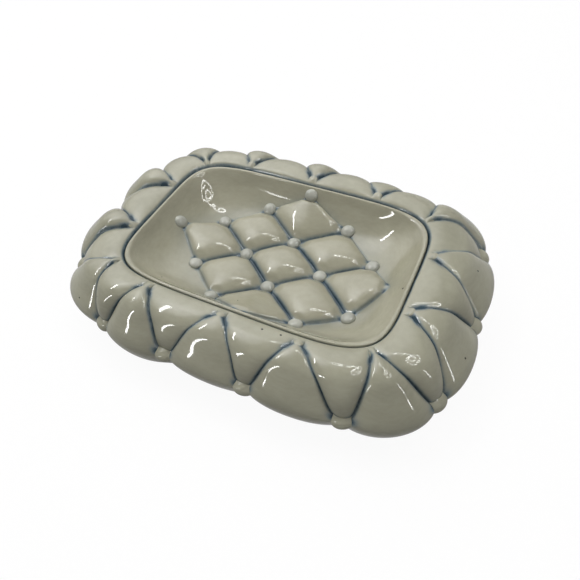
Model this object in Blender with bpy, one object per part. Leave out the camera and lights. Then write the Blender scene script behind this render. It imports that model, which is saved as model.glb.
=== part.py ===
"""Tufted ceramic soap dish: a padded ring, a basin let into it, and clay buttons.

Run with: blender --background --python part.py
Units are metres. +Z is up, +X runs along the length, the dish stands on z = 0.
"""
import math

import bmesh
import bpy
from mathutils import Vector
from mathutils.bvhtree import BVHTree

MM = 0.001

# Basin, measured on its outer face at the seam
BASIN_LENGTH = 109.0 * MM
BASIN_WIDTH = 72.2 * MM
BASIN_SQUARENESS = 5.3
BASIN_DEPTH = 14.4 * MM
BASIN_WALL = 4.0 * MM
BOWL_STEEPNESS = 5.5
BOWL_CENTRE_SQUARENESS = 2.4

# Lip of the basin
LIP_WIDTH = 1.1 * MM
LIP_ROUNDING = 0.9 * MM
LIP_RISE = 0.1 * MM

# Seat of the basin in the ring
SEAM_HEIGHT = 29.0 * MM
SEAM_GAP = 0.3 * MM
SEAT_DEPTH = 6.85 * MM
SEAT_WIDTH = 1.5 * MM
SEAT_PLAY = 0.3 * MM
LEDGE_THICKNESS = 3.6 * MM

# Padded ring, measured over the crowns of its pillows
DISH_LENGTH = 165.0 * MM
DISH_WIDTH = 117.8 * MM
DISH_SQUARENESS = 3.55
CREST_RISE = 2.1 * MM
BELLY_DROP = 13.4 * MM
FOOT_LAND = 4.5 * MM
SHELL_WALL = 3.6 * MM
EDGE_REACH = 1.5 * MM
EDGE_FALL = 1.3 * MM

# Pillows of the ring
PILLOW_PAIRS = 14
PUFF_RIM = 1.5 * MM
PUFF_BELLY = 4.4 * MM
PUFF_FOOT = 0.7 * MM
SHOULDER_RIM = 4.0 * MM
SHOULDER_BELLY = 7.0 * MM
SKIRT_NODE_RISE = 2.1 * MM
CREASE_START = 4.6 * MM
CREASE_GAP_RIM = 2.0 * MM
CREASE_GAP_SKIRT = 1.6 * MM
CREASE_GAP_FOOT = 0.25 * MM
CREASE_BEND = 0.8
COLUMNS = (0.0, 0.09, 0.27, 0.5, 0.73, 0.91)

# Diamond pillows of the floor
FLOOR_CELLS = 3
FLOOR_END_MARGIN = 6.5 * MM
FLOOR_SIDE_MARGIN = 3.0 * MM
FLOOR_SHIFT = 2.3 * MM
PUFF_FLOOR = 4.8 * MM
PUFF_FLATNESS = 2.6
CELL_LINES = (0.0, 0.1, 0.28, 0.5, 0.72, 0.9)

# Where the maker's hand set each crossing off the even pattern, in millimetres
HAND_SET = {
    "a1": (-0.4, 1.4), "a2": (-2.1, 0.1), "a3": (-2.4, 0.9), "a4": (-1.3, 0.0),
    "b1": (-0.9, -0.2), "b2": (-0.3, 0.3), "b3": (-0.7, 0.5), "b4": (2.4, 0.6),
    "c1": (-0.4, -1.8), "c2": (0.0, 0.8), "c3": (0.6, 0.7), "c4": (2.3, -1.2),
    "d1": (0.0, -0.8), "d2": (2.8, -0.9), "d3": (2.9, -2.7), "d4": (-3.5, 1.0),
}
BARE_CROSSINGS = ("d1", "d4")

# Hand drift of the buttons round the ring, in millimetres, from +X by the far side
RIM_DRIFT = (0.3, 0.7, 1.5, 0.8, 1.5, -0.5, 0.3, -0.5, -0.1, -2.5, -0.3, -0.6, 0.7, 1.8)
SKIRT_DRIFT = (-0.1, 2.0, 1.0, 1.0, 0.8, 0.4, 0.0, -0.2, -0.3, -0.6, -2.5, 0.2, 3.1, -1.6)

# How much fuller or leaner than the rest each pillow is, in millimetres: those
# that point up to a rim button, and those that point down to a skirt button
FULL_UP = (-0.8, 0.1, -0.5, 0.9, 0.7, 0.4, 2.3, 1.8, -0.6, 0.7, -1.0, -0.9, 0.2, -0.4)
FULL_DOWN = (-2.4, -1.2, -0.6, -0.6, -1.1, -0.7, -0.3, -2.1, 0.0, -1.2, -0.6, 0.4, 0.0, -0.6)

# Clay buttons
FLOOR_BUTTON_RADIUS = 2.3 * MM
FLOOR_BUTTON_HEIGHT = 1.5 * MM
RIM_BUTTON_RADIUS = 1.9 * MM
RIM_BUTTON_HEIGHT = 0.6 * MM
RIM_BUTTON_OFFSET = 2.9 * MM
SKIRT_BUTTON_RADIUS = 4.4 * MM
SKIRT_BUTTON_STEM = 2.7 * MM
SKIRT_BUTTON_HEIGHT = 1.9 * MM
SKIRT_BUTTON_DROP = 2.6 * MM
SKIRT_SEAT = 3.0 * MM
SKIRT_SEAT_EDGE = 2.4 * MM
BUTTON_GAP = 0.3 * MM
BUTTON_SIDES = 10
BUTTON_RINGS = 3

# Where the foot stands, as a share of the ring's width
FOOT_SHARE = 0.56


def clear_scene():
    for old in list(bpy.data.objects):
        bpy.data.objects.remove(old, do_unlink=True)


def smooth_step(value):
    value = min(1.0, max(0.0, value))
    return value * value * (3.0 - 2.0 * value)


def glazed(name, colour):
    """Grey celadon glaze on white clay."""
    material = bpy.data.materials.new(name)
    material.use_nodes = True
    shader = material.node_tree.nodes["Principled BSDF"]
    shader.inputs["Base Color"].default_value = (*colour, 1.0)
    shader.inputs["Roughness"].default_value = 0.12
    shader.inputs["Metallic"].default_value = 0.0
    material.diffuse_color = (*colour, 1.0)
    return material


# Plan curves


def squared_oval(angle, half_length, half_width, squareness):
    """Point of a squared oval in the direction of angle, with its outward normal."""
    c = math.cos(angle)
    s = math.sin(angle)
    radius = (abs(c / half_length) ** squareness + abs(s / half_width) ** squareness)
    radius = radius ** (-1.0 / squareness)
    point = Vector((radius * c, radius * s, 0.0))
    normal = Vector((
        math.copysign(abs(point.x) ** (squareness - 1.0), point.x) / half_length ** squareness,
        math.copysign(abs(point.y) ** (squareness - 1.0), point.y) / half_width ** squareness,
        0.0,
    ))
    normal.normalize()
    return point, normal


def ring_width(point, normal):
    """Distance from the seam out to the crowns, along the seam's normal."""
    low = 0.0
    high = DISH_LENGTH
    for _ in range(50):
        middle = 0.5 * (low + high)
        probe = point + normal * middle
        reach = abs(2.0 * probe.x / DISH_LENGTH) ** DISH_SQUARENESS
        reach += abs(2.0 * probe.y / DISH_WIDTH) ** DISH_SQUARENESS
        if reach < 1.0:
            low = middle
        else:
            high = middle
    return low


def measure_ring(samples=1440):
    """Stations round the ring, spaced by the length of its middle line."""
    stations = []
    for index in range(samples):
        angle = 2.0 * math.pi * index / samples
        point, normal = squared_oval(angle, BASIN_LENGTH / 2, BASIN_WIDTH / 2, BASIN_SQUARENESS)
        stations.append((point, normal, ring_width(point, normal)))
    lengths = [0.0]
    for index in range(samples):
        p0, n0, w0 = stations[index]
        p1, n1, w1 = stations[(index + 1) % samples]
        lengths.append(lengths[-1] + (p1 + n1 * w1 * 0.55 - p0 - n0 * w0 * 0.55).length)
    return stations, lengths


STATIONS, LENGTHS = measure_ring()
RING_LENGTH = LENGTHS[-1]


def station(turn):
    """Seam point, normal and ring width at a share of the way round."""
    target = (turn % 1.0) * RING_LENGTH
    low = 0
    high = len(LENGTHS) - 1
    while high - low > 1:
        middle = (low + high) // 2
        if LENGTHS[middle] <= target:
            low = middle
        else:
            high = middle
    share = (target - LENGTHS[low]) / (LENGTHS[low + 1] - LENGTHS[low])
    p0, n0, w0 = STATIONS[low]
    p1, n1, w1 = STATIONS[(low + 1) % len(STATIONS)]
    normal = n0.lerp(n1, share)
    normal.normalize()
    return p0.lerp(p1, share), normal, w0 + (w1 - w0) * share


# Section of the ring


def crown_points(width):
    """Section over the crowns, from the seam out and down to the foot."""
    return (
        (SEAM_GAP / 2, 0.0),
        (0.13 * width, 0.7 * CREST_RISE),
        (0.34 * width, CREST_RISE),
        (0.56 * width, 0.3 * CREST_RISE),
        (0.77 * width, -0.31 * BELLY_DROP),
        (0.94 * width, -0.68 * BELLY_DROP),
        (width, -BELLY_DROP),
        (0.89 * width, BELLY_DROP * -0.45 - SEAM_HEIGHT * 0.5),
        (0.72 * width, -0.89 * SEAM_HEIGHT),
        (FOOT_SHARE * width, -SEAM_HEIGHT),
    )


def curve_through(points, steps_each=6):
    """Smooth line through points, as a list of (distance, point)."""
    line = []
    last = len(points) - 1
    for index in range(last):
        p0 = points[max(index - 1, 0)]
        p1 = points[index]
        p2 = points[index + 1]
        p3 = points[min(index + 2, last)]
        for step in range(steps_each):
            t = step / steps_each
            line.append(tuple(
                0.5 * (2 * p1[k] + (p2[k] - p0[k]) * t
                       + (2 * p0[k] - 5 * p1[k] + 4 * p2[k] - p3[k]) * t * t
                       + (3 * p1[k] - p0[k] - 3 * p2[k] + p3[k]) * t ** 3)
                for k in (0, 1)
            ))
    line.append(points[-1])
    total = 0.0
    measured = [(0.0, line[0])]
    for before, after in zip(line, line[1:]):
        total += math.hypot(after[0] - before[0], after[1] - before[1])
        measured.append((total, after))
    return measured


SECTIONS = {}


def section(width):
    """Measured section for a ring width, kept so it is worked out once."""
    key = round(width / MM, 2)
    if key not in SECTIONS:
        SECTIONS[key] = curve_through(crown_points(key * MM))
    return SECTIONS[key]


def on_line(measured, share):
    """Point and left-hand normal of a measured line at a share of its length."""
    target = share * measured[-1][0]
    for (d0, p0), (d1, p1) in zip(measured, measured[1:]):
        if target <= d1 or d1 == measured[-1][0]:
            part = (target - d0) / (d1 - d0)
            point = (p0[0] + (p1[0] - p0[0]) * part, p0[1] + (p1[1] - p0[1]) * part)
            break
    along = (p1[0] - p0[0], p1[1] - p0[1])
    size = math.hypot(*along)
    return point, (-along[1] / size, along[0] / size)


def share_at_drop(measured, drop):
    """Share of the line at which it has come down to a drop below the seam."""
    for distance, point in measured:
        if point[1] <= -drop:
            return distance / measured[-1][0]
    return 1.0


def puff_height(share, start, skirt):
    """Height of a pillow's crown over its creases, along the section."""
    if share < skirt:
        rise = smooth_step((share - 0.1 * start) / (0.9 * start))
        grow = smooth_step((share - start) / (skirt - start))
        return rise * (PUFF_RIM + (PUFF_BELLY - PUFF_RIM) * grow)
    fade = smooth_step((share - skirt) / (1.0 - skirt))
    return PUFF_BELLY + (PUFF_FOOT - PUFF_BELLY) * fade


def edge_drop(out, normal):
    """How far the skin rounds down into the seam, more at the corners."""
    corner = smooth_step((2.0 * abs(normal.x * normal.y) - 0.35) / 0.5)
    share = 1.0 - (out - SEAM_GAP / 2) / (EDGE_REACH * (1.0 + 0.4 * corner))
    share = min(1.0, max(0.0, share))
    return EDGE_FALL * (1.0 + 0.23 * corner) * (1.0 - math.sqrt(1.0 - share * share))


def seat_share(turn, share, pair, skirt, length):
    """How much of a skirt button's seat a point has: 1 in it, 0 outside it."""
    most = 0.0
    for index in (pair, pair + 1):
        beside = (turn - skirt_turn(index)) * RING_LENGTH
        below = (share - skirt) * length - SKIRT_BUTTON_DROP
        away = math.hypot(beside, below)
        most = max(most, 1.0 - smooth_step((away - SKIRT_SEAT) / SKIRT_SEAT_EDGE))
    return most


def pad_point(turn, share, across, broad, extra, pair):
    """Point on the padded skin.

    turn is the place round the ring and share the way down the section, from
    seam to foot; across runs over the pillow, 0 and 1 on its creases; broad is
    the pillow's width there and extra how much fuller than the rest it is.
    """
    seam, normal, width = station(turn)
    line = section(width)
    start = CREASE_START / line[-1][0]
    skirt = share_at_drop(line, BELLY_DROP - SKIRT_NODE_RISE)
    (out, rise), (side, up) = on_line(line, share)
    height = puff_height(share, start, skirt)
    lower = smooth_step((share - start) / (skirt - start))
    shoulder = SHOULDER_RIM + (SHOULDER_BELLY - SHOULDER_RIM) * lower
    flatness = min(7.0, max(2.0, broad / (2.0 * shoulder)))
    round_off = (1.0 - abs(2.0 * across - 1.0) ** flatness) ** 0.54
    full = min(1.0, broad / (2.1 * height + 1.0e-6))
    lift = extra * smooth_step(share / 0.25) * (1.0 - smooth_step((share - 0.75) / 0.25))
    sink = height * (1.0 - round_off * full) - lift * round_off
    seat = seat_share(turn, share, pair, skirt, line[-1][0])
    sink += (height - sink) * seat
    rise -= edge_drop(out, normal)
    out -= side * sink
    rise -= up * sink
    place = seam + normal * out
    place.z = SEAM_HEIGHT + rise
    outward = normal * side
    outward.z = up
    return place, outward


def rim_turn(index):
    """Place round the ring of a rim button."""
    turns, place = divmod(index, PILLOW_PAIRS)
    return turns + (place + 0.5) / PILLOW_PAIRS + drift(RIM_DRIFT, place)


def skirt_turn(index):
    """Place round the ring of a skirt button."""
    turns, place = divmod(index, PILLOW_PAIRS)
    return turns + place / PILLOW_PAIRS + drift(SKIRT_DRIFT, place)


def drift(table, place):
    return table[place % len(table)] * MM / RING_LENGTH


def creases(index, run, below):
    """The two creases that leave one rim button.

    run goes from 0 at the rim to 1 at the skirt button, and below from 0 there
    to 1 where the creases have closed up under it.
    """
    rim_gap = CREASE_GAP_RIM / RING_LENGTH
    skirt_gap = (CREASE_GAP_SKIRT + (CREASE_GAP_FOOT - CREASE_GAP_SKIRT) * below) / RING_LENGTH
    bend = run ** CREASE_BEND
    left_top = rim_turn(index) - rim_gap
    right_top = rim_turn(index) + rim_gap
    left_end = skirt_turn(index) + skirt_gap
    right_end = skirt_turn(index + 1) - skirt_gap
    left = left_top + (left_end - left_top) * bend
    right = right_top + (right_end - right_top) * bend
    return left, right


def pad_column(pair, half, across, share):
    """Skin point for a column of one pillow.

    half 0 is the pillow that points up to the rim button, half 1 the one that
    points down to the next skirt button.
    """
    width = station((pair + 0.5) / PILLOW_PAIRS)[2]
    line = section(width)
    start = CREASE_START / line[-1][0]
    skirt = share_at_drop(line, BELLY_DROP - SKIRT_NODE_RISE)
    run = min(1.0, max(0.0, (share - start) / (skirt - start)))
    below = smooth_step((share - skirt - 0.04) / 0.16)
    left, right = creases(pair, run, below)
    if half == 1:
        left, right = right, creases(pair + 1, run, below)[0]
    turn = left + (right - left) * across
    extra = (FULL_DOWN if half else FULL_UP)[pair] * MM
    return pad_point(turn, share, across, (right - left) * RING_LENGTH, extra, pair)


PAD_SHARES = (0.0, 0.009, 0.032, 0.09, 0.15, 0.22, 0.30, 0.38, 0.46, 0.54, 0.61, 0.68, 0.75, 0.82, 0.91, 1.0)


def bridge(mesh, lower, upper):
    """Faces between two closed rows of points."""
    count = len(lower)
    for index in range(count):
        after = (index + 1) % count
        mesh.faces.new((lower[index], lower[after], upper[after], upper[index]))


def finish(name, mesh, material):
    """Turn a bmesh into a named object with its faces outward."""
    bmesh.ops.triangulate(mesh, faces=mesh.faces[:], quad_method="BEAUTY")
    bmesh.ops.recalc_face_normals(mesh, faces=mesh.faces[:])
    data = bpy.data.meshes.new(name)
    mesh.to_mesh(data)
    mesh.free()
    data.materials.append(material)
    thing = bpy.data.objects.new(name, data)
    bpy.context.scene.collection.objects.link(thing)
    return thing


def inner_section(width):
    """Section of the inside of the ring, from the seam down to the foot."""
    line = section(width)
    start = CREASE_START / line[-1][0]
    skirt = share_at_drop(line, BELLY_DROP - SKIRT_NODE_RISE)
    ledge_top = -SEAT_DEPTH
    reach = SEAT_PLAY - SEAT_WIDTH
    points = [
        (SEAM_GAP / 2, ledge_top),
        (reach, ledge_top),
        (reach, ledge_top - LEDGE_THICKNESS),
    ]
    for share in (0.26, 0.45, 0.62, 0.80):
        (out, rise), (side, up) = on_line(line, share)
        deep = puff_height(share, start, skirt) + SHELL_WALL
        points.append((out - side * deep, rise - up * deep))
    points.append((FOOT_SHARE * width - FOOT_LAND, -SEAM_HEIGHT))
    return points


def make_frame(material):
    mesh = bmesh.new()
    rows = []
    for share in PAD_SHARES:
        row = []
        for pair in range(PILLOW_PAIRS):
            for half in (0, 1):
                for across in COLUMNS:
                    row.append(mesh.verts.new(pad_column(pair, half, across, share)[0]))
        rows.append(row)
    inner_rows = [[] for _ in range(8)]
    for vert in rows[0]:
        # the inside follows the seam column by column
        angle = math.atan2(vert.co.y, vert.co.x)
        index = angle / (2.0 * math.pi) * len(STATIONS)
        low = math.floor(index)
        p0, n0, w0 = STATIONS[low % len(STATIONS)]
        p1, n1, w1 = STATIONS[(low + 1) % len(STATIONS)]
        share = index - low
        normal = n0.lerp(n1, share)
        normal.normalize()
        seam = p0.lerp(p1, share)
        for row, (out, rise) in zip(inner_rows, inner_section(w0 + (w1 - w0) * share)):
            place = seam + normal * out
            place.z = SEAM_HEIGHT + rise
            row.append(mesh.verts.new(place))
    loop = rows + inner_rows[::-1]
    for lower, upper in zip(loop, loop[1:]):
        bridge(mesh, lower, upper)
    bridge(mesh, loop[-1], loop[0])
    return finish("tufted_frame", mesh, material)


# Basin


def bowl_reach(x, y):
    """Share of the way from the middle of the bowl to its rim."""
    reach = 1.0
    for _ in range(24):
        squareness = BOWL_CENTRE_SQUARENESS
        squareness += (BASIN_SQUARENESS - BOWL_CENTRE_SQUARENESS) * min(reach, 1.0) ** 3
        total = abs(2.0 * x / (BASIN_LENGTH - 2.0 * LIP_WIDTH)) ** squareness
        total += abs(2.0 * y / (BASIN_WIDTH - 2.0 * LIP_WIDTH)) ** squareness
        reach = 0.5 * (reach + total ** (1.0 / squareness)) if total > 0.0 else 0.0
    return reach


def bowl_height(x, y):
    reach = min(1.0, bowl_reach(x, y))
    depth = BASIN_DEPTH * (1.0 - reach ** BOWL_STEEPNESS)
    return SEAM_HEIGHT + LIP_RISE + LIP_ROUNDING - math.hypot(depth, LIP_ROUNDING)


def crossing(row, column):
    """Plan place of a crossing of the floor's creases."""
    along = (row + column) / FLOOR_CELLS - 1.0
    across = (column - row) / FLOOR_CELLS
    x = FLOOR_SHIFT + along * (BASIN_LENGTH / 2 - FLOOR_END_MARGIN)
    y = across * (1.18 - 0.18 * across ** 4) * (BASIN_WIDTH / 2 - FLOOR_SIDE_MARGIN)
    dx, dy = HAND_SET.get(crossing_name(row, column), (0.0, 0.0))
    return x + dx * MM, y + dy * MM


def crossing_name(row, column):
    return "abcdefgh"[row] + str(column + 1)


def floor_plan(p, q):
    """Plan point at p, q in cells from crossing a1."""
    row = min(int(p), FLOOR_CELLS - 1)
    column = min(int(q), FLOOR_CELLS - 1)
    u = p - row
    v = q - column
    corners = [crossing(row, column), crossing(row + 1, column),
               crossing(row + 1, column + 1), crossing(row, column + 1)]
    shares = ((1 - u) * (1 - v), u * (1 - v), u * v, (1 - u) * v)
    return (sum(s * c[0] for s, c in zip(shares, corners)),
            sum(s * c[1] for s, c in zip(shares, corners)))


def floor_point(p, q):
    """Point on the tufted floor of the basin."""
    x, y = floor_plan(p, q)
    wave = 1.0
    for place in (p, q):
        wave *= 1.0 - abs(2.0 * (place - math.floor(place)) - 1.0) ** PUFF_FLATNESS
    puff = PUFF_FLOOR * math.sqrt(max(0.0, wave))
    return Vector((x, y, bowl_height(x, y) + puff))


def bowl_under(x, y):
    """Height of the underside of the bowl."""
    step = 0.2 * MM
    slope_x = (bowl_height(x + step, y) - bowl_height(x - step, y)) / (2 * step)
    slope_y = (bowl_height(x, y + step) - bowl_height(x, y - step)) / (2 * step)
    slope = min(2.0, math.hypot(slope_x, slope_y))
    return bowl_height(x, y) - BASIN_WALL * math.hypot(1.0, slope)


def seam_ring(count):
    """Seam points and normals, evenly spaced by length, starting on +X."""
    quarter = len(STATIONS) // 4
    lengths = [0.0]
    for index in range(quarter):
        lengths.append(lengths[-1] + (STATIONS[index + 1][0] - STATIONS[index][0]).length)
    ring = []
    for step in range(count):
        side, place = divmod(step, count // 4)
        target = place / (count // 4) * lengths[-1]
        if side % 2:
            target = lengths[-1] - target
        low = 0
        while low < quarter - 1 and lengths[low + 1] < target:
            low += 1
        share = (target - lengths[low]) / (lengths[low + 1] - lengths[low])
        point = STATIONS[low][0].lerp(STATIONS[low + 1][0], share)
        normal = STATIONS[low][1].lerp(STATIONS[low + 1][1], share)
        sign_x = 1.0 if side in (0, 3) else -1.0
        sign_y = 1.0 if side in (0, 1) else -1.0
        point = Vector((point.x * sign_x, point.y * sign_y, 0.0))
        normal = Vector((normal.x * sign_x, normal.y * sign_y, 0.0)).normalized()
        ring.append((point, normal))
    return ring


def make_basin(material):
    mesh = bmesh.new()
    lines = [cell + mark for cell in range(FLOOR_CELLS) for mark in CELL_LINES]
    lines.append(float(FLOOR_CELLS))
    size = len(lines)
    top = {}
    under = {}
    for i, p in enumerate(lines):
        for j, q in enumerate(lines):
            place = floor_point(p, q)
            top[i, j] = mesh.verts.new(place)
            under[i, j] = mesh.verts.new((place.x, place.y, bowl_under(place.x, place.y)))
    for i in range(size - 1):
        for j in range(size - 1):
            for sheet in (top, under):
                mesh.faces.new((sheet[i, j], sheet[i + 1, j], sheet[i + 1, j + 1], sheet[i, j + 1]))
    last = size - 1
    # edge of the diamond field, starting at the right-hand tip and running
    # round by the far, left and near tips
    edge = [(last - k, last) for k in range(last)]
    edge += [(0, last - k) for k in range(last)]
    edge += [(k, 0) for k in range(last)]
    edge += [(last, k) for k in range(last)]
    rim = seam_ring(len(edge))

    top_rows = [[top[key] for key in edge]]
    under_rows = [[under[key] for key in edge]]
    for share in (0.14, 0.34, 0.56, 0.77, 0.91):
        top_row = []
        under_row = []
        for key, (seam, normal) in zip(edge, rim):
            inside = top[key].co
            lip = seam - normal * LIP_WIDTH
            x = inside.x + (lip.x - inside.x) * share
            y = inside.y + (lip.y - inside.y) * share
            top_row.append(mesh.verts.new((x, y, bowl_height(x, y))))
            foot = seam - normal * (SEAT_WIDTH + 2.2 * MM)
            x = inside.x + (foot.x - inside.x) * share
            y = inside.y + (foot.y - inside.y) * share
            under_row.append(mesh.verts.new((x, y, bowl_under(x, y))))
        top_rows.append(top_row)
        under_rows.append(under_row)
    half_gap = SEAM_GAP / 2
    lip_section = (
        (LIP_WIDTH, None),
        (half_gap + 0.45 * LIP_ROUNDING, LIP_RISE - 0.05 * LIP_ROUNDING),
        (half_gap + 0.15 * LIP_ROUNDING, LIP_RISE - 0.33 * LIP_ROUNDING),
        (half_gap, LIP_RISE - LIP_ROUNDING),
        (half_gap, -SEAT_DEPTH),
        (SEAT_WIDTH, -SEAT_DEPTH),
    )
    for inset, rise in lip_section:
        row = []
        for seam, normal in rim:
            place = seam - normal * inset
            height = bowl_height(place.x, place.y) if rise is None else SEAM_HEIGHT + rise
            row.append(mesh.verts.new((place.x, place.y, height)))
        top_rows.append(row)
    loop = top_rows + under_rows[::-1]
    for lower, upper in zip(loop, loop[1:]):
        bridge(mesh, lower, upper)
    return finish("basin", mesh, material)


# Buttons


def seat_height(tree, centre, outward, radius):
    """How far out along outward the skin reaches under a button."""
    side = outward.orthogonal().normalized()
    other = outward.cross(side)
    highest = -1.0
    probes = [(0.0, 0.0)]
    for ring_share in (0.5, 1.02):
        for step in range(2 * BUTTON_SIDES):
            angle = math.pi * step / BUTTON_SIDES
            probes.append((radius * ring_share * math.cos(angle), radius * ring_share * math.sin(angle)))
    for u, v in probes:
        start = centre + side * u + other * v + outward * (3.0 * radius)
        hit = tree.ray_cast(start, -outward, 8.0 * radius)
        if hit[0] is not None:
            highest = max(highest, 3.0 * radius - hit[3])
    return highest


def make_button(name, tree, centre, outward, radius, height, material, stem=None):
    """A low clay dome that sits flat on the skin.

    A dome wider than its seat stands on a short stem, and its brim lies just
    over the pillows beside the seat.
    """
    outward = outward.normalized()
    foot = seat_height(tree, centre, outward, stem or radius)
    brim = seat_height(tree, centre, outward, radius) - foot
    base = centre + outward * (foot + BUTTON_GAP)
    mesh = bmesh.new()
    rows = []
    if stem:
        rows.append([
            mesh.verts.new((stem * math.cos(2 * math.pi * k / BUTTON_SIDES),
                            stem * math.sin(2 * math.pi * k / BUTTON_SIDES), 0.0))
            for k in range(BUTTON_SIDES)
        ])
    for ring in range(BUTTON_RINGS):
        lift = ring / BUTTON_RINGS
        wide = radius * math.cos(0.5 * math.pi * lift ** 1.4)
        rows.append([
            mesh.verts.new((wide * math.cos(2 * math.pi * k / BUTTON_SIDES),
                            wide * math.sin(2 * math.pi * k / BUTTON_SIDES),
                            brim + height * math.sin(0.5 * math.pi * lift)))
            for k in range(BUTTON_SIDES)
        ])
    for lower, upper in zip(rows, rows[1:]):
        bridge(mesh, lower, upper)
    tip = mesh.verts.new((0.0, 0.0, brim + height))
    for k in range(BUTTON_SIDES):
        mesh.faces.new((rows[-1][k], rows[-1][(k + 1) % BUTTON_SIDES], tip))
    mesh.faces.new(rows[0][::-1])
    thing = finish(name, mesh, material)
    thing.rotation_mode = "QUATERNION"
    thing.rotation_quaternion = outward.to_track_quat("Z", "Y")
    thing.location = base
    return thing


def skin_tree(thing):
    return BVHTree.FromPolygons(
        [vert.co.copy() for vert in thing.data.vertices],
        [tuple(face.vertices) for face in thing.data.polygons],
    )


def bowl_normal(x, y):
    step = 0.5 * MM
    slope_x = (bowl_height(x + step, y) - bowl_height(x - step, y)) / (2 * step)
    slope_y = (bowl_height(x, y + step) - bowl_height(x, y - step)) / (2 * step)
    return Vector((-slope_x, -slope_y, 1.0)).normalized()


def make_floor_buttons(basin, material):
    tree = skin_tree(basin)
    for row in range(FLOOR_CELLS + 1):
        for column in range(FLOOR_CELLS + 1):
            name = crossing_name(row, column)
            if name in BARE_CROSSINGS:
                continue
            x, y = crossing(row, column)
            centre = Vector((x, y, bowl_height(x, y)))
            make_button("basin_button_" + name, tree, centre, bowl_normal(x, y),
                        FLOOR_BUTTON_RADIUS, FLOOR_BUTTON_HEIGHT, material)


def make_ring_buttons(frame, material):
    tree = skin_tree(frame)
    for index in range(PILLOW_PAIRS):
        seam, normal, width = station(rim_turn(index))
        line = section(width)
        (out, rise), (side, up) = on_line(line, RIM_BUTTON_OFFSET / line[-1][0])
        centre = seam + normal * out
        centre.z = SEAM_HEIGHT + rise
        outward = normal * side
        outward.z = up
        make_button(f"rim_button_{index + 1:02d}", tree, centre, outward,
                    RIM_BUTTON_RADIUS, RIM_BUTTON_HEIGHT, material)

        seam, normal, width = station(skirt_turn(index))
        line = section(width)
        skirt = share_at_drop(line, BELLY_DROP - SKIRT_NODE_RISE)
        (out, rise), (side, up) = on_line(line, skirt + SKIRT_BUTTON_DROP / line[-1][0])
        centre = seam + normal * (out - side * PUFF_BELLY)
        centre.z = SEAM_HEIGHT + rise - up * PUFF_BELLY
        outward = normal * side
        outward.z = up
        make_button(f"skirt_button_{index + 1:02d}", tree, centre, outward,
                    SKIRT_BUTTON_RADIUS, SKIRT_BUTTON_HEIGHT, material, SKIRT_BUTTON_STEM)


def centre_on_outline():
    """Stand the dish with the middle of its outline on the Z axis."""
    bpy.context.view_layer.update()
    corners = [thing.matrix_world @ vert.co
               for thing in bpy.data.objects for vert in thing.data.vertices]
    shift_x = 0.5 * (min(c.x for c in corners) + max(c.x for c in corners))
    shift_y = 0.5 * (min(c.y for c in corners) + max(c.y for c in corners))
    for thing in bpy.data.objects:
        thing.location.x -= shift_x
        thing.location.y -= shift_y


def main():
    clear_scene()
    glaze = glazed("celadon_glaze", (0.36, 0.35, 0.27))
    basin_glaze = glazed("basin_glaze", (0.34, 0.33, 0.25))
    button_glaze = glazed("button_glaze", (0.42, 0.43, 0.38))
    frame = make_frame(glaze)
    basin = make_basin(basin_glaze)
    make_floor_buttons(basin, button_glaze)
    make_ring_buttons(frame, button_glaze)
    centre_on_outline()


main()
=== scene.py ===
# %% [markdown]
# # A tufted soap dish in grey celadon glaze
# The dish is a piece of pottery that copies a padded, buttoned cushion: a ring
# of wedge-shaped clay pillows, a basin with a quilted floor let into it, and
# small clay buttons where the creases meet. This lesson dresses the measured
# solids with smooth clay forms and a glaze that pools blue in the creases.

# %% Load the measured solids
import math

import bpy
import numpy as np
from mathutils import Matrix, Quaternion, Vector
from mathutils.bvhtree import BVHTree


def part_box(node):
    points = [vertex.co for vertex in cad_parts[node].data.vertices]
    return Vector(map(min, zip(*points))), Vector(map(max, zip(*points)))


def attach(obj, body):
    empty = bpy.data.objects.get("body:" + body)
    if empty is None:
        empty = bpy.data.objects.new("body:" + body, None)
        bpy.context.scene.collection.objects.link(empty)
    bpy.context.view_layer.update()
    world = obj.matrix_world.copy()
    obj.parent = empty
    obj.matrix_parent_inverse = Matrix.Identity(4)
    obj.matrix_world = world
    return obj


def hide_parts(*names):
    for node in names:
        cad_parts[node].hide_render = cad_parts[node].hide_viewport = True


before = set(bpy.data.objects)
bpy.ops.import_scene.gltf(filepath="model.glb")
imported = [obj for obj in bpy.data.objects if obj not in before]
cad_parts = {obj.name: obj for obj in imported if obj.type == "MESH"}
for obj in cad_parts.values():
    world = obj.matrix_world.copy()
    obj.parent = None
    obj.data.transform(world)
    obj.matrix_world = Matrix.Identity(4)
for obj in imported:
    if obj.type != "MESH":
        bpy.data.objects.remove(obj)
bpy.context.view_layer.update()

# %% [markdown]
# ## Sizes
# All clay sizes are written in millimetres, as a potter's drawing would have
# them, and turned into metres only when a mesh is made. The seam between the
# basin and the ring is the line that everything else is measured from, so its
# place is read from the basin's solid.

# %% The drawing's sizes
MM = 0.001
BASIN_LENGTH, BASIN_WIDTH, BASIN_SQUARENESS = 109.0, 72.2, 5.3
BASIN_DEPTH, BOWL_STEEPNESS, BOWL_CENTRE_SQUARENESS = 14.4, 5.5, 2.4
LIP_WIDTH, LIP_ROUNDING, LIP_RISE = 1.1, 0.9, 0.1
DISH_LENGTH, DISH_WIDTH, DISH_SQUARENESS = 165.0, 117.8, 3.55
SEAM_HEIGHT = 29.0
CREST_RISE, BELLY_DROP, FOOT_SHARE, FOOT_LAND = 2.1, 13.4, 0.56, 4.5
HALF_GAP = 0.15
PAIRS = 14

basin_low, basin_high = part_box("basin")
MIDDLE = np.array([500 * (basin_low.x + basin_high.x), 500 * (basin_low.y + basin_high.y), 0.0])
print("basin middle at", MIDDLE.round(2), "mm from the middle of the dish")

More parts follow.
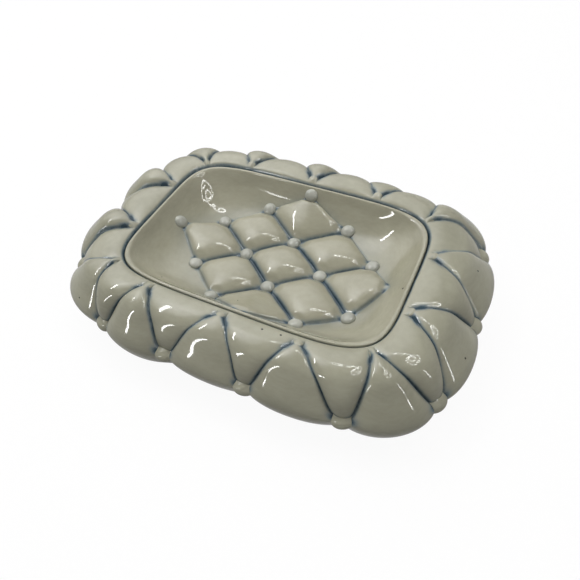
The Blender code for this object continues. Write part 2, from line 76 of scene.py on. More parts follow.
# %% [markdown]
# ## Curves seen from above
# Both the seam and the outside of the ring are squared ovals: rounder than a
# rectangle, squarer than an ellipse. One formula gives both. The ring is then
# walked at even steps of length, so that the pillows come out evenly wide, also
# round the corners.

# %% Squared ovals and the walk round the ring
def smooth(value):
    """A soft step from 0 to 1."""
    value = np.clip(value, 0.0, 1.0)
    return value * value * (3.0 - 2.0 * value)


def bell(distance, reach):
    """One at no distance, and nearly nought at twice the reach."""
    return np.exp(-(distance / reach) ** 2)


def squared_oval(angle, half_length, half_width, squareness):
    """Points of a squared oval and their outward normals."""
    c, s = np.cos(angle), np.sin(angle)
    reach = np.abs(c / half_length) ** squareness + np.abs(s / half_width) ** squareness
    x, y = c * reach ** (-1 / squareness), s * reach ** (-1 / squareness)
    normal = np.stack([
        np.sign(x) * np.abs(x) ** (squareness - 1) / half_length ** squareness,
        np.sign(y) * np.abs(y) ** (squareness - 1) / half_width ** squareness,
    ], -1)
    return np.stack([x, y], -1), normal / np.linalg.norm(normal, axis=-1, keepdims=True)


WALK = 2880
seam_points, seam_normals = squared_oval(
    2 * np.pi * np.arange(WALK) / WALK, BASIN_LENGTH / 2, BASIN_WIDTH / 2, BASIN_SQUARENESS)
near, far = np.zeros(WALK), np.full(WALK, DISH_LENGTH)
for _ in range(45):
    half = 0.5 * (near + far)
    probe = seam_points + seam_normals * half[:, None]
    inside = (np.abs(2 * probe[:, 0] / DISH_LENGTH) ** DISH_SQUARENESS
              + np.abs(2 * probe[:, 1] / DISH_WIDTH) ** DISH_SQUARENESS) < 1
    near, far = np.where(inside, half, near), np.where(inside, far, half)
ring_widths = near
MIDDLE_SHARE = 0.55
middle_line = seam_points + seam_normals * ring_widths[:, None] * MIDDLE_SHARE
steps = np.linalg.norm(np.roll(middle_line, -1, 0) - middle_line, axis=1)
walked = np.concatenate([[0.0], np.cumsum(steps)])
RING_LENGTH = walked[-1]


def station(turn):
    """Seam point, normal and ring width at shares of the way round."""
    place = np.interp((np.asarray(turn) % 1.0) * RING_LENGTH, walked, np.arange(WALK + 1))
    low = np.floor(place).astype(int) % WALK
    part = (place - np.floor(place))[..., None]
    high = (low + 1) % WALK
    normal = seam_normals[low] * (1 - part) + seam_normals[high] * part
    normal /= np.linalg.norm(normal, axis=-1, keepdims=True)
    point = seam_points[low] * (1 - part) + seam_points[high] * part
    width = ring_widths[low] * (1 - part[..., 0]) + ring_widths[high] * part[..., 0]
    return point, normal, width


print("the ring is", round(RING_LENGTH), "mm round and", ring_widths.min().round(1),
      "to", ring_widths.max().round(1), "mm wide")

# %% [markdown]
# ## The section of the ring
# Cut across, the ring is a soft roll: flat beside the seam, over a low crest,
# down a full belly and back in to the foot. A smooth line through ten points
# gives it. The line is measured once for a range of widths and then looked up,
# because the mesh needs it a hundred thousand times.

# %% Measure the section for every width
def crown_points(width):
    """The section over the crowns of the pillows, seam to foot."""
    return np.array([
        (HALF_GAP, 0.0),
        (0.13 * width, 0.7 * CREST_RISE),
        (0.34 * width, CREST_RISE),
        (0.56 * width, 0.3 * CREST_RISE),
        (0.77 * width, -0.31 * BELLY_DROP),
        (0.953 * width, -0.68 * BELLY_DROP),
        (width, -BELLY_DROP),
        (0.91 * width, -0.45 * BELLY_DROP - 0.48 * SEAM_HEIGHT),
        (0.74 * width, -0.875 * SEAM_HEIGHT),
        (FOOT_SHARE * width, -SEAM_HEIGHT),
    ])


def line_through(points, each=24):
    """A smooth line that passes through every point."""
    padded = np.vstack([points[:1], points, points[-1:]])
    t = np.linspace(0, 1, each, endpoint=False)[:, None]
    runs = [0.5 * (2 * b + (c - a) * t + (2 * a - 5 * b + 4 * c - d) * t ** 2
                   + (3 * b - a - 3 * c + d) * t ** 3)
            for a, b, c, d in zip(padded, padded[1:], padded[2:], padded[3:])]
    return np.vstack(runs + [points[-1:]])


SHARES = 400
WIDTHS = np.linspace(ring_widths.min() - 0.2, ring_widths.max() + 0.2, 24)
section_table = np.zeros((len(WIDTHS), SHARES + 1, 4))
section_lengths = np.zeros(len(WIDTHS))
for index, width in enumerate(WIDTHS):
    line = line_through(crown_points(width))
    along = np.concatenate([[0], np.cumsum(np.linalg.norm(np.diff(line, axis=0), axis=1))])
    section_lengths[index] = along[-1]
    even = np.linspace(0, along[-1], SHARES + 1)
    out, rise = np.interp(even, along, line[:, 0]), np.interp(even, along, line[:, 1])
    tangent = np.stack([np.gradient(out), np.gradient(rise)], -1)
    tangent /= np.linalg.norm(tangent, axis=1, keepdims=True)
    section_table[index] = np.stack([out, rise, -tangent[:, 1], tangent[:, 0]], -1)


def on_section(width, share):
    """Way out, rise and the section's own normal, looked up."""
    i = np.clip((width - WIDTHS[0]) / (WIDTHS[1] - WIDTHS[0]), 0, len(WIDTHS) - 1.001)
    j = np.clip(share * SHARES, 0, SHARES - 0.001)
    i0, j0 = i.astype(int), j.astype(int)
    u, v = (i - i0)[..., None], (j - j0)[..., None]
    found = ((section_table[i0, j0] * (1 - u) + section_table[i0 + 1, j0] * u) * (1 - v)
             + (section_table[i0, j0 + 1] * (1 - u) + section_table[i0 + 1, j0 + 1] * u) * v)
    return found[..., 0], found[..., 1], found[..., 2], found[..., 3]


print("section", section_lengths.min().round(1), "to", section_lengths.max().round(1), "mm long")

# %% [markdown]
# ## Where the creases run
# Fourteen buttons sit on the ring near the seam and fourteen low on the skirt,
# halfway between. Two creases leave each upper button and run down to the
# skirt buttons on either side, which cuts the ring into 28 pillows, tip up and
# tip down in turn. The maker's hand shifted each button by a millimetre or two.

# %% Buttons and creases round the ring
RIM_DRIFT = np.array([
    0.3, 0.7, 1.5, 0.8, 1.5, -0.5, 0.3, -0.5, -0.1, -2.5, -0.3, -0.6, 0.7, 1.8])
SKIRT_DRIFT = np.array([
    -0.1, 2.0, 1.0, 1.0, 0.8, 0.4, 0.0, -0.2, -0.3, -0.6, -2.5, 0.2, 3.1, -1.6])
CREASE_START, SKIRT_RISE, CREASE_BEND = 4.6, 1.0, 0.8
# half the space between two creases: at the rim button, the skirt button, the foot
GAP_RIM, GAP_SKIRT, GAP_FOOT = 2.0, 0.9, 0.25
CLOSE_AFTER, CLOSE_OVER = 0.04, 0.16


def rim_turn(index):
    """How far round the ring a rim button sits, from 0 to 1."""
    return (index + 0.5 + RIM_DRIFT[index % PAIRS] / RING_LENGTH * PAIRS) / PAIRS


def skirt_turn(index):
    """How far round the ring a skirt button sits."""
    return (index + SKIRT_DRIFT[index % PAIRS] / RING_LENGTH * PAIRS) / PAIRS


def marks(index):
    """Shares of the section at which the creases start and meet the skirt button."""
    width = station((index + 0.5) / PAIRS)[2]
    start = CREASE_START / np.interp(width, WIDTHS, section_lengths)
    shares = np.linspace(0, 1, SHARES + 1)
    rise = on_section(np.full(SHARES + 1, width), shares)[1]
    return start, shares[np.argmax(rise <= SKIRT_RISE - BELLY_DROP)]


def crease_pair(index, share):
    """Turns of the two creases that leave one rim button."""
    start, skirt = marks(index)
    run = np.clip((share - start) / (skirt - start), 0, 1) ** CREASE_BEND
    below = smooth((share - skirt - CLOSE_AFTER) / CLOSE_OVER)
    gap = (GAP_SKIRT + (GAP_FOOT - GAP_SKIRT) * below) / RING_LENGTH
    left_top = rim_turn(index) - GAP_RIM / RING_LENGTH
    right_top = rim_turn(index) + GAP_RIM / RING_LENGTH
    left = left_top + (skirt_turn(index) + gap - left_top) * run
    right = right_top + (skirt_turn(index + 1) - gap - right_top) * run
    return left, right


print("28 pillows, each about", round(RING_LENGTH / PAIRS), "mm wide at the belly")

# %% [markdown]
# ## The padded skin
# A pillow could be sculpted or inflated by simulation. Here it is a formula,
# so that each crease lands where it should: the crown line stays on the
# section, and toward its two creases the clay sinks along the section's
# normal, with round shoulders and a narrow V at the bottom. A pillow that
# points down sinks once more at its tip, so that the skirt button covers it.
# Where the skin meets the seam, it falls into it over a small edge, which is
# wider on the left-hand side, as in the photograph.

# %% Height of the pillows
PUFF_RIM, PUFF_BELLY, PUFF_FOOT = 1.5, 4.4, 0.7
SHOULDER_RIM, SHOULDER_GAIN, SHOULDER_ROUNDNESS = 4.0, 3.0, 0.54
NARROW, TIP_SINK, TIP_REACH = 3.8, 0.8, 0.1
# how much fuller than the section each pillow is: tip up, and tip down
FULL_UP = np.array([
    -0.8, 0.1, -0.5, 0.9, 0.7, 0.4, 2.3, 1.8, -0.6, 0.7, -1.0, -0.9, 0.2, -0.4])
FULL_DOWN = np.array([
    -2.4, -1.2, -0.6, -0.6, -1.1, -0.7, -0.3, -2.1, 0.0, -1.2, -0.6, 0.4, 0.0, -0.6])
# the seam round the basin: compass angle from +X by the far side, how far the skin
# falls into it, how wide that edge is, and its ink: pooled glaze and painted shade
SEAM_LOOK = np.array([
    (0, 0.8, 0.8, 0.6), (28, 1.1, 1.1, 0.65), (45, 1.2, 1.2, 0.7), (68, 1.2, 1.1, 0.5),
    (90, 1.2, 1.1, 0.5), (115, 1.6, 1.6, 0.6), (142, 1.9, 1.9, 0.65), (160, 1.5, 1.5, 0.6),
    (180, 1.1, 1.1, 0.6), (205, 1.2, 1.4, 0.85), (222, 0.9, 1.1, 0.8), (238, 0.5, 0.6, 0.45),
    (315, 0.5, 0.6, 0.45), (338, 0.6, 0.7, 0.55), (360, 0.8, 0.8, 0.6)])


def seam_look(seam):
    """Fall, width and ink of the seam beside points of it; the ink is pooled glaze and painted
    shade.
    """
    angle = np.degrees(np.arctan2(seam[..., 1] / BASIN_WIDTH, seam[..., 0] / BASIN_LENGTH)) % 360
    return [np.interp(angle, SEAM_LOOK[:, 0], SEAM_LOOK[:, column]) for column in (1, 2, 3)]


def puff(share, start, skirt):
    """How far the creases lie below the crowns, along the section."""
    begins = smooth((share - 0.1 * start) / (0.9 * start))
    grows = smooth((share - start) / (skirt - start))
    fades = smooth((share - skirt - 0.12) / (0.88 - skirt))
    upper = begins * (PUFF_RIM + (PUFF_BELLY - PUFF_RIM) * grows)
    lower = PUFF_BELLY + (PUFF_FOOT - PUFF_BELLY) * fades
    return np.where(share < skirt, upper, lower)


def skin(turn, share, across, broad, start, skirt, plump, tip_down):
    """Points of the padded skin, in millimetres from the basin's middle."""
    seam, normal, width = station(turn)
    out, rise, side, up = on_section(width, share)
    height = puff(share, start, skirt)
    lower = smooth((share - start) / (skirt - start))
    shoulder = SHOULDER_RIM + SHOULDER_GAIN * lower
    flat = np.clip(broad / (2 * shoulder), 2.0, 7.0)
    round_off = (1.0 - np.abs(2 * across - 1) ** flat) ** SHOULDER_ROUNDNESS
    full = 1 - np.maximum(0.0, 1 - broad / (NARROW * height + 1e-6)) ** 2
    full = full * (1 - TIP_SINK * tip_down * bell(share - skirt, TIP_REACH))
    lift = plump * smooth(share / 0.25) * (1 - smooth((share - 0.75) / 0.25))
    sink = height * (1.0 - round_off * full) - lift * round_off
    fall, reach, _ = seam_look(seam)
    rise = rise - fall * (1 - np.sqrt(1 - np.clip(1 - (out - HALF_GAP) / reach, 0, 1) ** 2))
    place = seam + normal * (out - side * sink)[..., None]
    return np.concatenate([place, (SEAM_HEIGHT + rise - up * sink)[..., None]], -1)


print("crowns stand", PUFF_RIM, "mm over the creases at the rim,", PUFF_BELLY, "at the belly")

# %% [markdown]
# Columns of the mesh follow the creases, and lie closer together beside them.
# The same pass notes at every point how much blue ink lies there, for the glaze
# to use: a thin line down each crease, more where a crease starts and where it
# ends at the skirt button, and some along the seam, where the ink is partly
# pooled glaze and partly painted shade of the narrow seam.

# %% Lay out the grid of the skin
COLUMNS, ROWS, EDGE_ROWS, EDGE_SHARE = 36, 130, 8, 0.03
EVEN = 0.32
INK_LINE, INK_HEAD, INK_TAIL, FAR_FADE = 0.72, 1.15, 1.2, 0.25


def crowded_ends(count, even):
    """Steps from 0 up to 1 that lie closer together at both ends."""
    t = np.arange(count) / count
    return even * t + (1 - even) * 0.5 * (1 - np.cos(np.pi * t))


across_line = crowded_ends(COLUMNS, EVEN)
share_line = np.concatenate([np.linspace(0, EDGE_SHARE, EDGE_ROWS + 1)[:-1],
                             np.linspace(EDGE_SHARE, 1, ROWS - EDGE_ROWS)])

skin_points, pool_and_seam_shade_values = [], []
for pair in range(PAIRS):
    start, skirt = marks(pair)
    left, right = crease_pair(pair, share_line)
    next_left = crease_pair(pair + 1, share_line)[0]
    for half, (a, b) in enumerate(((left, right), (right, next_left))):
        turn = a[:, None] + (b - a)[:, None] * across_line[None, :]
        across = np.broadcast_to(across_line, turn.shape)
        share = np.broadcast_to(share_line[:, None], turn.shape)
        broad = np.broadcast_to(((b - a) * RING_LENGTH)[:, None], turn.shape)
        plump = (FULL_DOWN if half else FULL_UP)[pair]
        skin_points.append(skin(turn, share, across, broad, start, skirt, plump, half))
        # distance to the nearer crease, and along it from its start and its end
        beside = np.minimum(across, 1 - across) * broad
        seam_point, _, width = station(turn)
        length = np.interp(width, WIDTHS, section_lengths)
        from_start = (share - start) * length
        from_end = (share - skirt) * length
        line = bell(beside, 0.6) * smooth(from_start + 0.6) * (1 - smooth(from_end / 1.5))
        head = INK_HEAD * bell(beside, 1.2) * bell(from_start - 1.0, 2.2)
        tail = INK_TAIL * bell(beside, 1.6) * bell(from_end + 2.0, 2.4)
        crease = np.maximum(np.maximum(INK_LINE * line, head), tail)
        # the seam's ink on the skin's edge is pooled glaze and painted shade of the narrow seam
        _, reach, ink = seam_look(seam_point)
        out = on_section(width, share)[0]
        edge = ink * smooth(1.2 - (out - HALF_GAP) / (0.8 * reach))
        far = 1 - FAR_FADE * smooth(2.4 * seam_point[..., 1] / BASIN_WIDTH)
        pool_and_seam_shade_values.append(np.maximum(far * crease, edge))
skin_points = np.concatenate(skin_points, 1)
pool_and_seam_shade_values = np.concatenate(pool_and_seam_shade_values, 1)
print("skin grid", skin_points.shape[:2])

# %% [markdown]
# ## From grid to clay
# A grid of points that closes on itself both ways makes a watertight ring. The
# skin gives the outside. The inside of the shell, the ledge that carries the
# basin and the flat foot are a few more rows, which follow the same stations.

# %% Helpers that turn grids into objects
def clay(name, points, faces, values=None):
    """A smooth mesh object from points in millimetres round the basin's middle."""
    mesh = bpy.data.meshes.new(name)
    mesh.from_pydata(((points + MIDDLE) * MM).tolist(), [], faces)
    mesh.validate()
    mesh.shade_smooth()
    for key, numbers in (values or {}).items():
        field = mesh.attributes.new(key, "FLOAT", "POINT")
        field.data.foreach_set("value", np.asarray(numbers, np.float32).ravel())
    thing = bpy.data.objects.new(name, mesh)
    bpy.context.scene.collection.objects.link(thing)
    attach(thing, "root")
    return thing


def grid_faces(rows, columns, first=0, wrap_rows=False):
    """Quads of a grid that closes round its columns."""
    faces = []
    for r in range(rows if wrap_rows else rows - 1):
        a = first + r * columns
        b = first + ((r + 1) % rows) * columns
        for c in range(columns):
            d = (c + 1) % columns
            faces.append((a + c, b + c, b + d, a + d))
    return faces


print("3 rows of 4 points that close round give", len(grid_faces(3, 4)), "faces")

# %% The tufted ring
SEAT_DEPTH, SEAT_REACH, LEDGE, SHELL_WALL = 6.85, -1.2, 3.6, 3.6

top, turns = np.array([0.0]), []
for pair in range(PAIRS):
    left, right = crease_pair(pair, top)
    next_left = crease_pair(pair + 1, top)[0]
    turns += [left + (right - left) * across_line, right + (next_left - right) * across_line]
turns = np.concatenate(turns)
seam, normal, width = station(turns)


def hoop(out, rise):
    """One row round the ring at a way out from the seam and a rise over it."""
    place = seam + normal * np.broadcast_to(out, turns.shape)[:, None]
    return np.concatenate([place, np.broadcast_to(SEAM_HEIGHT + rise, turns.shape)[:, None]], -1)


fall, _, seam_ink_and_shade = seam_look(seam)
# the skin's edge, with a bead that closes the seam to a hair, then the ledge
BEAD = ((HALF_GAP, -0.3), (-0.1, -0.45), (-0.1, -0.8), (HALF_GAP, -1.0))
inner_rows = [hoop(out, rise - fall) for out, rise in BEAD]
inner_rows += [hoop(HALF_GAP, -SEAT_DEPTH), hoop(SEAT_REACH, -SEAT_DEPTH),
               hoop(SEAT_REACH, -SEAT_DEPTH - LEDGE)]
INSIDE_START, INSIDE_BELLY = 0.07, 0.5
for share in (0.26, 0.35, 0.45, 0.54, 0.62, 0.71, 0.80):
    share = np.full(turns.shape, share)
    out, rise, side, up = on_section(width, share)
    deep = puff(share, INSIDE_START, INSIDE_BELLY) + SHELL_WALL
    inner_rows.append(hoop(out - side * deep, rise - up * deep))
inner_rows.append(hoop(FOOT_SHARE * width - FOOT_LAND, -SEAM_HEIGHT))
ring_points = np.concatenate([skin_points, np.array(inner_rows[::-1])])
inner_seam_ink_and_shade = np.zeros((len(inner_rows), len(turns)))
# the bead rows take the seam's ink: pooled glaze and painted shade of the narrow seam
inner_seam_ink_and_shade[-len(BEAD):] = seam_ink_and_shade
ring_pool_and_seam_shade = np.concatenate([pool_and_seam_shade_values, inner_seam_ink_and_shade])
rows, columns = ring_points.shape[:2]
tufted_ring = clay("tufted_ring", ring_points.reshape(-1, 3),
                   grid_faces(rows, columns, wrap_rows=True),
                   {"pool_and_seam_shade": ring_pool_and_seam_shade})
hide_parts("tufted_frame")
print("tufted ring:", len(tufted_ring.data.polygons), "faces")

# %% [markdown]
# ## The bowl of the basin
# The basin is a shallow squared bowl. Its height comes from one number, how far
# a point lies on the way from the middle to the rim: low powers would make a
# cone or a saucer, a high power gives the flat floor and quick walls of a dish
# that was pressed over a mould.

# %% Height of the bowl
SETTLE = 24


def bowl_height(x, y):
    """Height of the bowl, squarer toward its rim, found by settling on one answer."""
    reach = np.ones_like(x)
    for _ in range(SETTLE):
        toward_rim = np.minimum(reach, 1) ** 3
        squareness = (BOWL_CENTRE_SQUARENESS
                      + (BASIN_SQUARENESS - BOWL_CENTRE_SQUARENESS) * toward_rim)
        total = (np.abs(2 * x / (BASIN_LENGTH - 2 * LIP_WIDTH)) ** squareness
                 + np.abs(2 * y / (BASIN_WIDTH - 2 * LIP_WIDTH)) ** squareness)
        reach = 0.5 * (reach + total ** (1 / squareness))
    depth = BASIN_DEPTH * (1 - np.minimum(reach, 1) ** BOWL_STEEPNESS)
    return SEAM_HEIGHT + LIP_RISE + LIP_ROUNDING - np.sqrt(depth ** 2 + LIP_ROUNDING ** 2)


print("bowl", SEAM_HEIGHT - bowl_height(np.array(0.0), np.array(0.0)).round(1), "mm deep")

# %% [markdown]
# ## The quilted floor
# Sixteen crossings make a field of three by three diamonds. A point of the
# field is found by how many cells it lies along and across, and its height is
# the bowl's plus a puff that falls to nothing on every crease. The crossings
# sit a little off the even pattern, as buttons pressed on by hand do.

# %% The crossings and the pillows between them
CELLS, END_MARGIN, SIDE_MARGIN, FLOOR_SHIFT = 3, 6.5, 3.0, 2.3
PUFF_FLOOR, PUFF_FLATNESS, PINCH, CELL_SIDE = 4.8, 2.1, 0.35, 21.0
HAND_SET = np.array([
    [(-0.4, 1.4), (-2.1, 0.1), (-2.4, 0.9), (-1.3, 0.0)],
    [(-0.9, -0.2), (-0.3, 0.3), (-0.7, 0.5), (2.4, 0.6)],
    [(-0.4, -1.8), (0.0, 0.8), (0.6, 0.7), (2.3, -1.2)],
    [(0.0, -0.8), (2.8, -0.9), (2.9, -2.7), (-3.5, 1.0)],
])
row, column = np.mgrid[0:CELLS + 1, 0:CELLS + 1]
across = (column - row) / CELLS
SPREAD = 0.18
crossings = np.stack([
    FLOOR_SHIFT + ((row + column) / CELLS - 1) * (BASIN_LENGTH / 2 - END_MARGIN),
    across * (1 + SPREAD - SPREAD * across ** 4) * (BASIN_WIDTH / 2 - SIDE_MARGIN),
], -1) + HAND_SET


def floor_plan(p, q):
    """Where a point of the field lies, seen from above."""
    r, c = (np.minimum(place.astype(int), CELLS - 1) for place in (p, q))
    u, v = (p - r)[..., None], (q - c)[..., None]
    return (crossings[r, c] * (1 - u) * (1 - v) + crossings[r + 1, c] * u * (1 - v)
            + crossings[r + 1, c + 1] * u * v + crossings[r, c + 1] * (1 - u) * v)


def floor_puff(p, q):
    """Height of the floor pillows, pinched where a button presses them down."""
    rounds = [1 - np.abs(2 * (place - np.floor(place)) - 1) ** PUFF_FLATNESS for place in (p, q)]
    to_button = np.hypot(p - np.round(p), q - np.round(q)) * CELL_SIDE
    pinched = PINCH + (1 - PINCH) * smooth((to_button - 2.0) / 4.0)
    return PUFF_FLOOR * np.sqrt(np.maximum(rounds[0] * rounds[1], 0)) * pinched


print("floor crossings reach x", crossings[..., 0].min().round(1), "to",
      crossings[..., 0].max().round(1))

# %% [markdown]
# The field is a square grid in cells, drawn closer beside the creases. The
# underside repeats it at the thickness of the clay, so that the basin can be
# closed. Beside the grid, each point notes how much blue ink lies on it, for
# the glaze to read. Ink lies along the creases and round the buttons. It is
# stronger down the middle rows, and fainter on the field's outer edge.

# %% Grid of the field
FINE, FINE_EVEN, WALL = 26, 0.4, 4.0
cell_line = crowded_ends(FINE, FINE_EVEN)
lines = np.concatenate([cell_line + k for k in range(CELLS)] + [[float(CELLS)]])
LINES = len(lines)
P, Q = np.meshgrid(lines, lines, indexing="ij")
plan = floor_plan(P, Q)
bowl = bowl_height(plan[..., 0], plan[..., 1])
field = np.concatenate([plan, (bowl + floor_puff(P, Q))[..., None]], -1)
under = np.concatenate([plan, (bowl - WALL)[..., None]], -1)
print("field grid", field.shape[:2])

# %% Ink on the field
INK_ACROSS, INK_BUTTON, INK_OUTER = 0.6, 0.9, 0.6
FIELD_MIDDLE = CELLS / 2
off_p, off_q = np.abs(P - np.round(P)) * CELL_SIDE, np.abs(Q - np.round(Q)) * CELL_SIDE
middle_rows = smooth(P / 1.2 - 0.4) * (1 - smooth(np.abs(Q - FIELD_MIDDLE) / 0.9 - 0.6))
along_rows = 0.55 + 0.45 * middle_rows
outer_p, outer_q = (np.where(np.abs(place - FIELD_MIDDLE) > 1.4, INK_OUTER, 1.0)
                    for place in (P, Q))
field_pool = np.maximum(INK_ACROSS * outer_p * bell(off_p, 0.8),
                        outer_q * along_rows * bell(off_q, 1.0))
by_button = bell(np.hypot(off_p, off_q) - 2.8, 1.6) * bell(np.minimum(off_p, off_q), 1.3)
field_pool = np.maximum(field_pool, INK_BUTTON * by_button)
print("ink on", round(100 * (field_pool > 0.5).mean()), "% of the field")

# %% [markdown]
# Round the edge of the field the mesh changes to hoops, which suit a wall that
# runs all round. They widen up the bowl to the lip, round over it and drop into
# the seam, then come back under the clay to the underside of the field. A flat
# grid would leave a ragged edge at the lip, and a hoop follows it exactly.

# %% Hoops from the field up to the lip
edge = [(LINES - 1 - k, LINES - 1) for k in range(LINES - 1)]
edge += [(0, LINES - 1 - k) for k in range(LINES - 1)]
edge += [(k, 0) for k in range(LINES - 1)]
edge += [(LINES - 1, k) for k in range(LINES - 1)]
edge = np.array(edge)
HOOP = len(edge)

# the seam, walked at even steps from +X, so that hoop and field turn together
quarter = WALK // 4
strides = np.linalg.norm(np.diff(seam_points[:quarter + 1], axis=0), axis=1)
lengths = np.concatenate([[0], np.cumsum(strides)])
k = np.arange(HOOP)
side, place = k // (HOOP // 4), k % (HOOP // 4)
target = place / (HOOP // 4) * lengths[-1]
target = np.where(side % 2, lengths[-1] - target, target)
index = np.interp(target, lengths, np.arange(quarter + 1))
low, part = np.floor(index).astype(int), (index - np.floor(index))[:, None]
sign = np.stack([np.where((side == 0) | (side == 3), 1, -1), np.where(side < 2, 1, -1)], -1)
rim = (seam_points[low] * (1 - part) + seam_points[(low + 1) % WALK] * part) * sign
rim_normal = (seam_normals[low] * (1 - part) + seam_normals[(low + 1) % WALK] * part) * sign


def level_hoop(inset, height):
    """A hoop of the basin at one height, some way in from the seam."""
    return np.concatenate([rim - rim_normal * inset, np.full((HOOP, 1), height)], -1)


def bowl_hoop(start, end, share, below=0.0):
    """A hoop of the bowl, part of the way from one line to another."""
    flat = start[:, :2] + (end - start[:, :2]) * share
    return np.concatenate([flat, (bowl_height(flat[:, 0], flat[:, 1]) - below)[:, None]], -1)


WALL_HOOPS, LIP_EDGE, COLLAR, COLLAR_FOOT, UNDER_WALL = 33, 0.6, 1.5, 3.7, 1.25 * WALL
inside, under_edge = (sheet[edge[:, 0], edge[:, 1]] for sheet in (field, under))
lip_start = rim - rim_normal * LIP_WIDTH
hoops = [bowl_hoop(inside, lip_start, share) for share in np.linspace(0, 1, WALL_HOOPS + 1)[1:]]
for inset in (0.95, 0.8, 0.7, 0.61, 0.52, 0.43, 0.35, 0.28, 0.22, 0.18, 0.155, HALF_GAP):
    over = max(0.0, 1 - (inset - HALF_GAP) / LIP_EDGE)
    fall = LIP_ROUNDING * (1 - math.sqrt(1 - over ** 2))
    hoops.append(level_hoop(inset, SEAM_HEIGHT + LIP_RISE - fall))
wall_count = len(hoops)
hoops += [level_hoop(inset, SEAM_HEIGHT - SEAT_DEPTH) for inset in (HALF_GAP, COLLAR)]
collar_foot = rim - rim_normal * COLLAR_FOOT
hoops += [bowl_hoop(under_edge, collar_foot, share, UNDER_WALL) for share in (0.75, 0.5, 0.25)]
print("basin hoops:", len(hoops), "of", HOOP, "points")

# %% Ink on the hoops
HAZE, HAZE_HOOPS, HAZE_REACH = 0.085, 20, 9
hoop_pool_and_seam_shade = np.zeros((len(hoops), HOOP))
edge_pool = field_pool[edge[:, 0], edge[:, 1]]
for number in range(HAZE_HOOPS):
    hoop_pool_and_seam_shade[number] = np.maximum(0.6 * edge_pool * math.exp(-number / 1.2),
                                   HAZE * bell(number, HAZE_REACH))
# the lip's last rows and the seat take the seam's ink: pooled glaze and painted shade
lip_ink_and_shade = np.array([[0.1], [0.5], [1.0], [1.0], [1.0]])
hoop_pool_and_seam_shade[wall_count - 3:wall_count + 2] = lip_ink_and_shade * seam_look(rim)[2]
basin_pool_and_seam_shade = np.concatenate([field_pool.ravel(), np.zeros(LINES * LINES), hoop_pool_and_seam_shade.ravel()])
basin_points = np.concatenate([field.reshape(-1, 3), under.reshape(-1, 3)] + hoops)
print("the basin has", len(basin_points), "points")

# %% The quilted basin
faces = []
number = np.arange(LINES * LINES).reshape(LINES, LINES)
for sheet, turned in ((number, False), (number + LINES * LINES, True)):
    for i in range(LINES - 1):
        for j in range(LINES - 1):
            quad = (sheet[i, j], sheet[i + 1, j], sheet[i + 1, j + 1], sheet[i, j + 1])
            faces.append(tuple(int(v) for v in (quad[::-1] if turned else quad)))
first = 2 * LINES * LINES
faces += grid_faces(len(hoops), HOOP, first)
last = first + (len(hoops) - 1) * HOOP
for c in range(HOOP):
    d = (c + 1) % HOOP
    top_c, top_d = int(number[tuple(edge[c])]), int(number[tuple(edge[d])])
    faces.append((top_c, first + c, first + d, top_d))
    low_c, low_d = top_c + LINES * LINES, top_d + LINES * LINES
    faces.append((last + c, low_c, low_d, last + d))
quilted_basin = clay("quilted_basin", basin_points, faces, {"pool_and_seam_shade": basin_pool_and_seam_shade})
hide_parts("basin")
print("quilted basin:", len(quilted_basin.data.polygons), "faces")

# %% [markdown]
# ## Clay buttons
# A button is a ball of clay pressed into the skin where the creases meet. Each
# dome is sized by the height of the skin round it, which is found by shooting
# rays at the finished skin, and its brim starts at the lowest of it. Those on
# the floor are round. Those on the skirt are wider than tall, and the pillows
# on both sides press over them.

# %% Press one button on the skin
def skin_tree(thing):
    """The faces of a piece, ready for rays."""
    return BVHTree.FromPolygons([v.co[:] for v in thing.data.vertices],
                                [tuple(f.vertices) for f in thing.data.polygons])


def flat_side(solid):
    """Middle of a solid button's flat base, and the way the button points."""
    area = {}
    for face in solid.data.polygons:
        key = tuple(round(value, 2) for value in face.normal)
        area[key] = area.get(key, 0.0) + face.area
    outward = -Vector(max(area, key=area.get)).normalized()
    corners = np.array([v.co[:] for v in solid.data.vertices])
    depth = corners @ np.array(outward)
    return Vector(corners[depth < depth.min() + 0.1 * MM].mean(0)), outward


HOOPS, SPOKES, ROOT = 12, 40, 0.8 * MM
RAY_START, RAY_REACH = 6 * MM, 20 * MM


